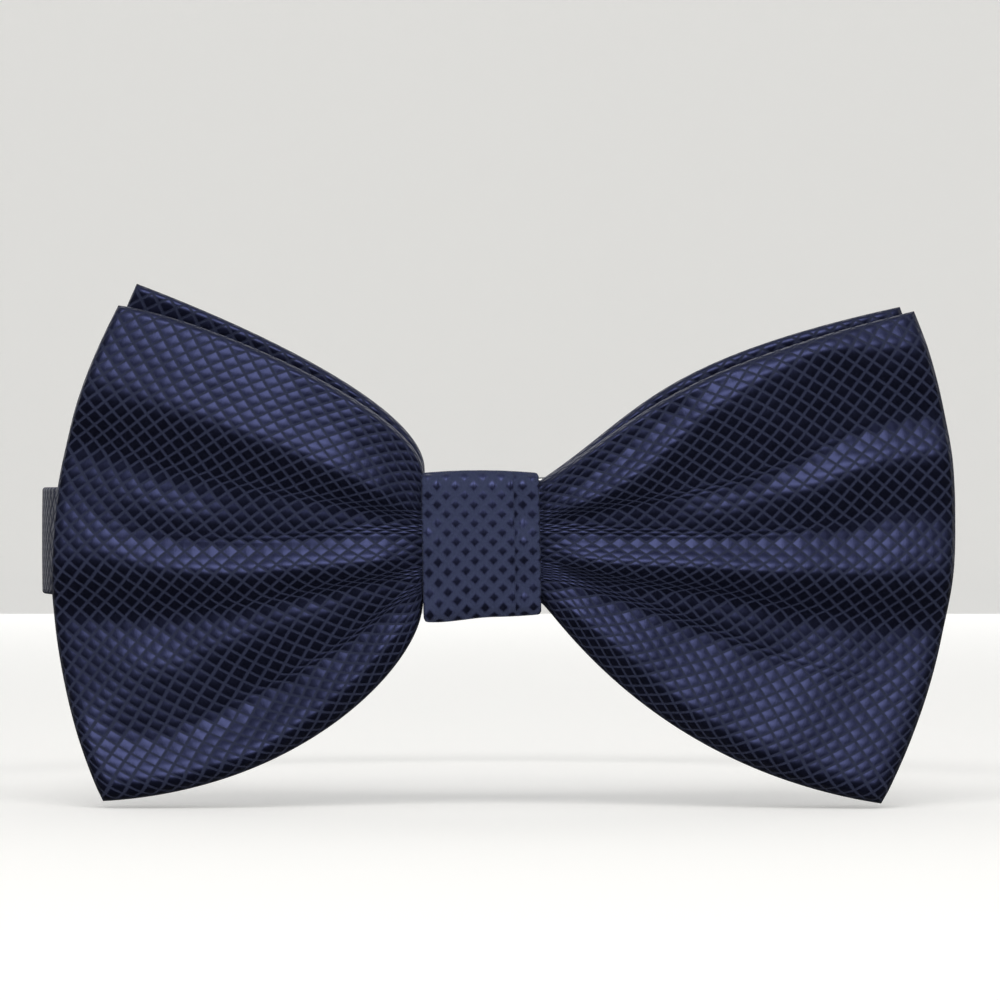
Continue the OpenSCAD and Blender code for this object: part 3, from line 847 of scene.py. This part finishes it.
def make_hook():
    """A plate with a slot for the band and a curled tongue, from a mid surface in the X and Z directions."""
    own = settings().metal
    wire, plate = own.wire / MM, own.plate / MM
    far = float(np.linalg.norm(EYE_FAR - HOOK_BAR))
    # the tongue passes over the eye's wire, curls down beyond it and ends in a lip under it
    over = math.asin((wire / 2 + 0.4 + plate / 2) / far)
    under = math.asin((wire / 2 + 0.6 + plate) / far)
    tongue = far + wire / 2 + 1.0 + plate / 2
    half, tongue_half, slot_half = float(HOOK_HIGH[2]), 4, 8
    slot_end, shoulder, lip = 3.4, (6, 9, 12), 0.55
    clear_selection()
    bpy.ops.mesh.primitive_plane_add(size=MM, location=(0, 0, 0), rotation=(math.pi / 2, 0, 0))
    piece = bpy.context.object
    piece.name = "hook_clasp"
    bpy.ops.object.mode_set(mode="EDIT")
    bpy.ops.transform.resize(value=(tongue, 1, half))
    bpy.ops.transform.translate(value=(tongue / 2 * MM, 0, half / 2 * MM))
    bpy.ops.object.mode_set(mode="OBJECT")
    bpy.ops.object.transform_apply(location=True, rotation=True, scale=True)
    edit(piece)
    cut(0, (0.3, slot_end, *shoulder, 14.5))
    cut(2, (tongue_half, slot_half))

    def waste(c):
        return (c.x < slot_end and c.z < slot_half) or (c.x > shoulder[-1] and c.z > tongue_half)

    pick(piece, "FACE", waste)
    bpy.ops.mesh.delete(type="FACE")
    # the shoulders narrow to the tongue
    for x, share in zip(shoulder[1:], (0.5, 1.0)):
        for z in (half, slot_half):
            pick(piece, "VERT", lambda c: abs(c.x - x) < 0.05 and abs(c.z - z) < 0.05)
            bpy.ops.transform.translate(value=(0, 0, (tongue_half - z) * share * MM))
    bpy.ops.mesh.select_all(action="SELECT")
    bpy.ops.mesh.remove_doubles(threshold=WELD)
    pick(piece, "EDGE", lambda c: abs(c.x - tongue) < 0.02)
    bpy.ops.mesh.spin(steps=8, angle=over + under, center=(0, 0, 0), axis=(0, 0, 1), dupli=False)
    inward = -Vector((math.cos(over + under), -math.sin(over + under), 0)) * lip
    bpy.ops.mesh.extrude_region_move(TRANSFORM_OT_translate={"value": inward * MM})
    bpy.ops.object.mode_set(mode="OBJECT")
    mirror_down(piece)
    apply_modifier(piece, "SOLIDIFY", thickness=plate * MM, offset=0.0)
    apply_modifier(piece, "BEVEL", width=0.16 * MM, segments=3, limit_method="ANGLE", angle_limit=0.6)
    bar = stitch("hook_bar", 2 * half, wire)
    bar.data.transform(Matrix.Rotation(math.pi / 2, 4, "Y"))
    select_only(piece, bar)
    bpy.ops.object.join()
    bpy.ops.object.shade_smooth_by_angle(angle=0.7)
    settle(piece, bearing(EYE_FAR - HOOK_BAR) + math.degrees(over), HOOK_BAR)
    finish_piece(piece, metal_material(), "hook", "hook")


def make_slider():
    """A frame with two raised end bars and a low middle bar, half of it extruded and mirrored."""
    length, end_bar, middle_bar = 11.2, 4.2, 1.2
    rail_low, bar_low, bar_high, rail_high, rail_in, rail_out = 62.95, 63.75, 65.85, 66.85, 8.0, 9.4
    clear_selection()
    bpy.ops.mesh.primitive_cube_add(size=MM, location=(0, 0, 0))
    piece = bpy.context.object
    piece.name = "slider_frame"
    bpy.ops.object.mode_set(mode="EDIT")
    bpy.ops.mesh.select_all(action="SELECT")
    bpy.ops.transform.resize(value=(rail_high - rail_low, length, rail_out - rail_in))
    bpy.ops.transform.translate(value=((rail_low + rail_high) / 2 * MM, 0, (rail_in + rail_out) / 2 * MM))
    cut(1, (-end_bar, -middle_bar, middle_bar, end_bar))
    cut(0, (bar_low, bar_high))

    def bar_root(c):
        at_end = c.x > bar_high and abs(c.y) > end_bar
        return c.z < rail_in + 0.01 and (at_end or (c.x < bar_low and abs(c.y) < middle_bar))

    pick(piece, "FACE", bar_root)
    bpy.ops.mesh.extrude_region_move(TRANSFORM_OT_translate={"value": (0, 0, -rail_in * MM)})
    bpy.ops.mesh.delete(type="FACE")
    bpy.ops.object.mode_set(mode="OBJECT")
    mirror_down(piece)
    edit(piece)
    bpy.ops.mesh.select_all(action="SELECT")
    bpy.ops.mesh.dissolve_limited(angle_limit=0.02)
    bpy.ops.mesh.normals_make_consistent(inside=False)
    bpy.ops.object.mode_set(mode="OBJECT")
    apply_modifier(piece, "BEVEL", width=0.3 * MM, segments=4, limit_method="ANGLE", angle_limit=0.6)
    bpy.ops.object.shade_smooth_by_angle(angle=0.7)
    settle(piece, SLIDER_AT)
    finish_piece(piece, metal_material(), "slider", "slider")


# ---------- materials ----------
def put(tree, socket, value):
    """Links another socket into one, or sets it to a number or a colour."""
    if isinstance(value, bpy.types.NodeSocket):
        tree.links.new(value, socket)
    else:
        socket.default_value = (*value, 1) if socket.type == "RGBA" else value


def feed(tree, made, inputs):
    for label, value in inputs.items():
        put(tree, made.inputs[label], value)


def node(tree, kind, at=(0, 0), inputs=None, **values):
    made = tree.nodes.new(kind)
    made.location = at
    for key, value in values.items():
        setattr(made, key, value)
    feed(tree, made, inputs or {})
    return made


def math_node(tree, operation, *values, clamp=False):
    made = node(tree, "ShaderNodeMath", operation=operation, use_clamp=clamp)
    for socket, value in zip(made.inputs, values):
        put(tree, socket, value)
    return made.outputs[0]


def colour_mix(tree, share, a, b):
    return node(tree, "ShaderNodeMix", inputs={0: share, 6: a, 7: b}, data_type="RGBA").outputs[2]


def bumped(tree, height, distance):
    """The surface's normal with a height pattern pressed into it."""
    made = node(tree, "ShaderNodeBump", (150, -300), {"Distance": distance, "Height": height})
    return made.outputs[0]


def lattice_group():
    """Diamond lattice of matt lines between shiny cells, on the cloth's own coordinates in millimetres."""
    name, rib_pitch = "Woven lattice", 0.62
    if name in bpy.data.node_groups:
        return bpy.data.node_groups[name]
    tree = bpy.data.node_groups.new(name, "ShaderNodeTree")
    for label, kind, value in (("Cloth", "NodeSocketVector", None), ("Pitch", "NodeSocketFloat", 1.7),
                               ("Line share", "NodeSocketFloat", 0.2), ("Ribs", "NodeSocketFloat", 0.0)):
        made = tree.interface.new_socket(name=label, in_out="INPUT", socket_type=kind)
        if value is not None:
            made.default_value = value
    for label in ("Line", "Height", "Variation", "Grain"):
        tree.interface.new_socket(name=label, in_out="OUTPUT", socket_type="NodeSocketFloat")
    start, end = node(tree, "NodeGroupInput"), node(tree, "NodeGroupOutput")
    m = partial(math_node, tree)
    parts = node(tree, "ShaderNodeSeparateXYZ", inputs={0: start.outputs["Cloth"]})
    u, v = parts.outputs[0], parts.outputs[1]
    # the two diagonals that the lines follow, counted in cells
    scale = m("MULTIPLY", start.outputs["Pitch"], math.sqrt(2))
    p = m("DIVIDE", m("ADD", u, v), scale)
    q = m("DIVIDE", m("SUBTRACT", u, v), scale)
    across = [m("ABSOLUTE", m("SUBTRACT", m("FRACT", w), 0.5)) for w in (p, q)]
    gap = m("SUBTRACT", 0.5, m("MAXIMUM", across[0], across[1]))
    half = m("MULTIPLY", start.outputs["Line share"], 0.5)
    beyond = m("DIVIDE", m("SUBTRACT", gap, m("MULTIPLY", half, 0.6)), m("MULTIPLY", half, 0.8), clamp=True)
    pillow = [m("SUBTRACT", 1.0, m("POWER", m("MULTIPLY", w, 2.0), 2.0)) for w in across]
    rib = m("MULTIPLY", m("SINE", m("MULTIPLY", u, math.pi * 2 / rib_pitch)), 0.5)
    cell = node(tree, "ShaderNodeCombineXYZ", inputs={0: m("FLOOR", p), 1: m("FLOOR", q)})
    shade = node(tree, "ShaderNodeTexWhiteNoise", noise_dimensions="2D")
    stretch = node(tree, "ShaderNodeCombineXYZ", inputs={0: m("MULTIPLY", u, 6.0), 1: m("MULTIPLY", v, 1.1)})
    grain = node(tree, "ShaderNodeTexNoise", noise_dimensions="2D")
    feed(tree, shade, {"Vector": cell.outputs[0]})
    feed(tree, grain, {"Scale": 1.0, "Detail": 2.0, "Vector": stretch.outputs[0]})
    feed(tree, end, {
        "Line": m("SUBTRACT", 1.0, beyond, clamp=True),
        "Height": m("ADD", m("MULTIPLY", pillow[0], pillow[1]), m("MULTIPLY", rib, start.outputs["Ribs"])),
        "Variation": shade.outputs["Value"],
        "Grain": grain.outputs["Fac"],
    })
    return tree


def material(name):
    """Turns a function that fills a node tree into one that gives the material, built at its first use."""
    def wrap(fill):
        def give():
            if name in bpy.data.materials:
                return bpy.data.materials[name]
            made = bpy.data.materials.new(name)
            made.use_nodes = True
            tree = made.node_tree
            tree.nodes.clear()
            shader = node(tree, "ShaderNodeBsdfPrincipled", (400, 0))
            node(tree, "ShaderNodeOutputMaterial", (700, 0), {"Surface": shader.outputs[0]})
            fill(tree, shader)
            return made
        return give
    return wrap


def lattice_satin(tree, shader, pitch, line_share, ribs=0.0, bright=1.0, matt=1.0, relief=0.00009):
    """Shiny satin cells between matt lines."""
    own = settings().cloth
    cloth = node(tree, "ShaderNodeUVMap", (-900, 0), uv_map="Weave")
    group = node(tree, "ShaderNodeGroup", (-600, 0), node_tree=lattice_group())
    feed(tree, group, {"Cloth": cloth.outputs[0], "Pitch": pitch / MM,
                       "Line share": line_share, "Ribs": ribs})
    line, height, vary, grain = (group.outputs[k] for k in ("Line", "Height", "Variation", "Grain"))
    m = partial(math_node, tree)
    cell = colour_mix(tree, m("MULTIPLY_ADD", vary, 0.3, m("MULTIPLY", grain, 0.5)),
                      [c * bright * 0.78 for c in own.satin], [c * bright * 1.24 for c in own.satin])
    feed(tree, shader, {
        "Base Color": colour_mix(tree, line, cell, [c * matt for c in own.matt]),
        "Roughness": m("MULTIPLY_ADD", line, 0.36, m("MULTIPLY_ADD", grain, 0.1, 0.36)),
        "Metallic": m("MULTIPLY_ADD", line, -0.92, 0.92),
        "Normal": bumped(tree, m("ADD", height, m("MULTIPLY", grain, 0.12)), relief),
        "Specular IOR Level": 0.18,
        "Sheen Weight": 0.02,
        "Sheen Roughness": 0.5,
    })


@material("Navy lattice satin")
def bow_material(tree, shader):
    own = settings().cloth
    lattice_satin(tree, shader, own.cell_pitch, own.line_share)


@material("Navy lattice satin on the knot")
def knot_material(tree, shader):
    pitch = settings().cloth.knot_pitch
    # the knot's cells are painted 1.5 times and its lines 1.6 times as bright as the bow's: painted light for
    # the extra light that falls on the knot
    lattice_satin(tree, shader, pitch, 0.43, ribs=0.3, bright=1.5, matt=1.6, relief=0.00012)


@material("Navy band satin")
def band_material(tree, shader):
    own = settings().cloth
    lattice_satin(tree, shader, own.cell_pitch, own.line_share, bright=0.9)


def fine_noise(tree, scale, detail=3.0):
    """A noise over the piece, and the place that it reads."""
    place = node(tree, "ShaderNodeTexCoord", (-800, 0)).outputs["Object"]
    made = node(tree, "ShaderNodeTexNoise", (-600, 0), {"Scale": scale, "Detail": detail, "Vector": place})
    return made.outputs["Fac"], place


def bands(tree, place, scale, distortion, direction):
    made = node(tree, "ShaderNodeTexWave", (-600, -300), wave_type="BANDS", bands_direction=direction)
    feed(tree, made, {"Scale": scale, "Distortion": distortion, "Vector": place})
    return made.outputs["Fac"]


@material("Interlining canvas")
def canvas_material(tree, shader):
    """Undyed woven canvas."""
    canvas = settings().cloth.canvas
    noise, place = fine_noise(tree, 900)
    weave = math_node(tree, "MULTIPLY", *(bands(tree, place, 420, 0.6, axis) for axis in ("X", "Z")))
    # the colour is darker in the weave's hollows, which is painted shade, and also varies at random with the
    # noise
    weave_shade_and_tone = math_node(tree, "MULTIPLY_ADD", weave, 0.6, math_node(tree, "MULTIPLY", noise, 0.4))
    feed(tree, shader, {
        "Base Color": colour_mix(tree, weave_shade_and_tone, [c * 0.72 for c in canvas], canvas),
        "Normal": bumped(tree, weave, 0.0001),
        "Roughness": 0.9,
    })


@material("Sewing thread")
def thread_material(tree, shader):
    """Twisted polyester sewing thread."""
    thread = settings().cloth.thread
    noise, place = fine_noise(tree, 2500)
    twist = bands(tree, place, 900, 0.0, "DIAGONAL")
    # the twist darkens the colour in its grooves and lightens it on its ridges: painted shade and painted
    # highlight over the same bump
    feed(tree, shader, {
        "Base Color": colour_mix(tree, twist, [c * 0.5 for c in thread], [min(1, c * 1.6) for c in thread]),
        "Roughness": math_node(tree, "MULTIPLY_ADD", noise, 0.2, 0.45),
        "Normal": bumped(tree, twist, 0.00006),
    })


@material("Nickel plating")
def metal_material(tree, shader):
    """Bright nickel plating with handling marks."""
    colour = settings().metal.colour
    noise, place = fine_noise(tree, 260, 5.0)
    spread = node(tree, "ShaderNodeMapping", (-750, -300), {"Vector": place, "Scale": (4200, 4200, 260)})
    marks = node(tree, "ShaderNodeTexNoise", (-600, -300))
    feed(tree, marks, {"Scale": 1.0, "Detail": 2.0, "Vector": spread.outputs[0]})
    scratch = marks.outputs["Fac"]
    smudge = math_node(tree, "MULTIPLY_ADD", noise, 0.12, 0.08)
    feed(tree, shader, {
        "Base Color": colour_mix(tree, noise, [c * 0.86 for c in colour], colour),
        "Roughness": math_node(tree, "MULTIPLY_ADD", scratch, 0.14, smudge),
        "Metallic": 1.0,
        "Normal": bumped(tree, scratch, 0.00001),
    })


@material("Studio paper")
def floor_material(tree, shader):
    colour = settings().stage.floor
    feed(tree, shader, {
        "Base Color": colour_mix(tree, fine_noise(tree, 3.0)[0], [c * 0.985 for c in colour], colour),
        "Roughness": 0.95,
        "Specular IOR Level": 0.1,
        "Emission Color": colour,
        "Emission Strength": 0.46,
    })


# ---------- stage ----------
def make_floor(low):
    """Floor and wall as one round sheet with a wide curve between them."""
    around, wall, curve, top = 72, 3.0, 1.2, 4.0
    profile = [(r, 0.0) for r in (0.02, 0.5, 1.5, wall)]
    profile += [(wall + curve * math.sin(a), curve - curve * math.cos(a))
                for a in np.linspace(0.1, math.pi / 2, 14)]
    profile += [(wall + curve, top)]
    angles = np.linspace(0, 2 * math.pi, around + 1)[:-1]
    points = [(r * math.cos(a) / MM, r * math.sin(a) / MM, (z + low) / MM)
              for r, z in profile for a in angles]
    index = np.arange(len(points)).reshape(len(profile), around)
    faces = [list(f) for f in quads(np.concatenate([index, index[:, :1]], axis=1))] + [list(index[0])]
    floor = mesh_piece("floor", points, faces)
    floor.data.materials.append(floor_material())
    floor.visible_glossy = False


def area_light(name, place, aim, size, power, colour):
    data = bpy.data.lights.new(name, "AREA")
    data.shape = "RECTANGLE"
    data.size, data.size_y = size
    data.energy, data.color = power, colour
    lamp = bpy.data.objects.new(name, data)
    lamp.location = place
    lamp.rotation_mode = "QUATERNION"
    lamp.rotation_quaternion = (Vector(place) - Vector(aim)).to_track_quat("Z", "Y")
    lamp.visible_camera = False
    bpy.context.scene.collection.objects.link(lamp)
    return lamp


def make_sky():
    """A faint glow that grows towards the top, which the satin and the plating reflect."""
    world = bpy.data.worlds.new("Studio")
    world.use_nodes = True
    tree = world.node_tree
    place = node(tree, "ShaderNodeTexCoord")
    parts = node(tree, "ShaderNodeSeparateXYZ", inputs={0: place.outputs["Generated"]})
    ramp = node(tree, "ShaderNodeMapRange", interpolation_type="SMOOTHSTEP")
    feed(tree, ramp, {"Value": parts.outputs[2], "From Min": 0.02, "From Max": 0.95,
                      "To Min": 0.008, "To Max": 0.37})
    feed(tree, tree.nodes["Background"], {"Strength": ramp.outputs[0], "Color": (0.95, 0.97, 1)})
    bpy.context.scene.world = world


def make_camera(look, distance, width):
    data = bpy.data.cameras.new("camera")
    data.sensor_width = 36
    data.lens = data.sensor_width * distance / width
    camera = bpy.data.objects.new("camera", data)
    camera.location = look - Vector((0, distance, 0))
    camera.rotation_euler = (math.pi / 2, 0, 0)
    bpy.context.scene.collection.objects.link(camera)
    bpy.context.scene.camera = camera


# ---------- operators ----------
class BOWTIE_OT_bow_layers(bpy.types.Operator):
    """Builds the front and back layers of the bow and the canvas inside them"""

    bl_idname = "bowtie.bow_layers"
    bl_label = "Bow layers"

    def execute(self, context):
        for kind in ("front", "back"):
            front, back, weave, _ = bow_points(kind)
            piece = shell(f"bow_{kind}", front, back, weave)
            finish_piece(piece, bow_material(), "bow_and_band", f"{kind}_bow")
            # a shaped cut, 69 mm deep at the wings and about half that at the waist before it is gathered
            make_interlining(kind)
        return {"FINISHED"}


class BOWTIE_OT_knot(bpy.types.Operator):
    """Builds the knot wrap and the lining under it, and finishes the gathering threads"""

    bl_idname = "bowtie.knot"
    bl_label = "Knot"

    def execute(self, context):
        piece, around = make_knot()
        gather = frame["nodes"]["gathering_thread"]
        gather.data.materials.clear()
        gather.data.materials.append(thread_material())
        return {"FINISHED"}


class BOWTIE_OT_band(bpy.types.Operator):
    """Builds the neck band, its return to the slider and its folded end"""

    bl_idname = "bowtie.band"
    bl_label = "Neck band"

    def execute(self, context):
        band, length = strip("band", even_path(band_path()))
        finish_piece(band, band_material(), "bow_and_band", "neck_band")

        path = even_path([arc(RETURN_LINE, RETURN_LINE, RETURN_AT - 0.1, LOOP_AT, 60)])
        back, length = strip("band_back", path, 0.75)
        back.data.materials.append(band_material())
        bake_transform(back)
        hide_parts("band_return")

        end_loop, length = strip("band_end_loop", even_path(end_loop_path(), 0.5), 0.74)
        finish_piece(end_loop, band_material(), "slider", "band_slider_end")
        return {"FINISHED"}


class BOWTIE_OT_clasp(bpy.types.Operator):
    """Builds the hook and the eye that close the band"""

    bl_idname = "bowtie.clasp"
    bl_label = "Hook and eye"

    def execute(self, context):
        make_eye()
        make_hook()
        return {"FINISHED"}


class BOWTIE_OT_slider(bpy.types.Operator):
    """Builds the slider that sets the length of the band"""

    bl_idname = "bowtie.slider"
    bl_label = "Slider"

    def execute(self, context):
        make_slider()
        return {"FINISHED"}


class BOWTIE_OT_stitches(bpy.types.Operator):
    """Sews the knot's seam, its tacks to the band and the two bartacks"""

    bl_idname = "bowtie.stitches"
    bl_label = "Stitches"

    def execute(self, context):
        rear = float(KNOT_HIGH[1]) + 0.12
        middle = (KNOT_LEFT + KNOT_RIGHT) / 2
        seam = [facing_place((middle + 1.6 * k, rear, -3.2), (math.sin(0.6), 0, math.cos(0.6)), (0, 1, 0))
                for k in range(-4, 5)]
        tack = [facing_place((x, rear, z - 0.5), (0.12, 0, 1), (0, 1, 0))
                for x in (-5.2, 4.6) for z in (1.5, 3, 4.5)]
        hook_end = bartack_places(TAIL_LINE + 0.5, HOOK_DEG + 11.5)
        slider_end = bartack_places(RETURN_LINE - 0.75 - 0.75 / 2 - 0.42, SLIDER_AT + 5.7)
        for name, places, length, diameter, body, cad in (
                ("seam_stitches", seam, 1.7, 0.34, "bow_and_band", "knot_seam"),
                ("tack_stitches", tack, 1.35, 0.34, "bow_and_band", "band_knot_tack"),
                ("hook_bartack", hook_end, 1.9, 0.32, "bow_and_band", "hook_end_bartack"),
                ("slider_bartack", slider_end, 1.9, 0.32, "slider", "slider_end_bartack")):
            piece = place_stitches(name, places, length, diameter)
            finish_piece(piece, thread_material(), body, cad)
        return {"FINISHED"}


class BOWTIE_OT_stage(bpy.types.Operator):
    """Sets the floor, the wall, the lights and the camera"""

    bl_idname = "bowtie.stage"
    bl_label = "Stage"

    def execute(self, context):
        own = settings().stage
        make_floor(float(CAD_BOX[0][2]) - 0.0006)
        look = Vector((0.0021, -0.0765, 0.0057))
        area_light("key", (0, -0.86, 0.84), look, (1.0, 0.5), own.key, (1.0, 0.99, 0.98))
        area_light("back", (0, 1.3, 0.45), (0, 0, 0), (2.4, 1.1), own.back, (0.98, 0.99, 1.0))
        area_light("wash", (0, 0, 3.2), (0, 0, 0), (3.0, 3.0), own.wash, (1, 1, 1)).visible_glossy = False
        make_sky()
        make_camera(look, own.distance, own.width)
        context.scene.view_settings.view_transform = "Standard"
        return {"FINISHED"}


class BOWTIE_PT_panel(bpy.types.Panel):
    """Lists the steps that build the bow tie"""

    bl_idname = "BOWTIE_PT_panel"
    bl_label = "Bow tie"
    bl_space_type = "VIEW_3D"
    bl_region_type = "UI"
    bl_category = "Bow tie"

    def draw(self, context):
        for step in STEPS:
            self.layout.operator(step.bl_idname)
        own = context.scene.bow_tie
        for group in (own.cloth, own.bow, own.knot, own.metal, own.stage):
            box = self.layout.box()
            for key in group.__annotations__:
                box.prop(group, key)


STEPS = (BOWTIE_OT_bow_layers, BOWTIE_OT_knot, BOWTIE_OT_band, BOWTIE_OT_clasp,
         BOWTIE_OT_slider, BOWTIE_OT_stitches, BOWTIE_OT_stage)
GROUPS = (ClothSettings, BowSettings, KnotSettings, MetalSettings, StageSettings, BowTieSettings)
CLASSES = (*GROUPS, *STEPS, BOWTIE_PT_panel)


def register():
    for item in CLASSES:
        bpy.utils.register_class(item)
    bpy.types.Scene.bow_tie = PointerProperty(type=BowTieSettings)


def unregister():
    del bpy.types.Scene.bow_tie
    for item in reversed(CLASSES):
        bpy.utils.unregister_class(item)


def main():
    register()
    bpy.ops.bowtie.bow_layers()
    bpy.ops.bowtie.knot()
    bpy.ops.bowtie.band()
    bpy.ops.bowtie.clasp()
    bpy.ops.bowtie.slider()
    bpy.ops.bowtie.stitches()
    bpy.ops.bowtie.stage()


if __name__ == "__main__":
    main()
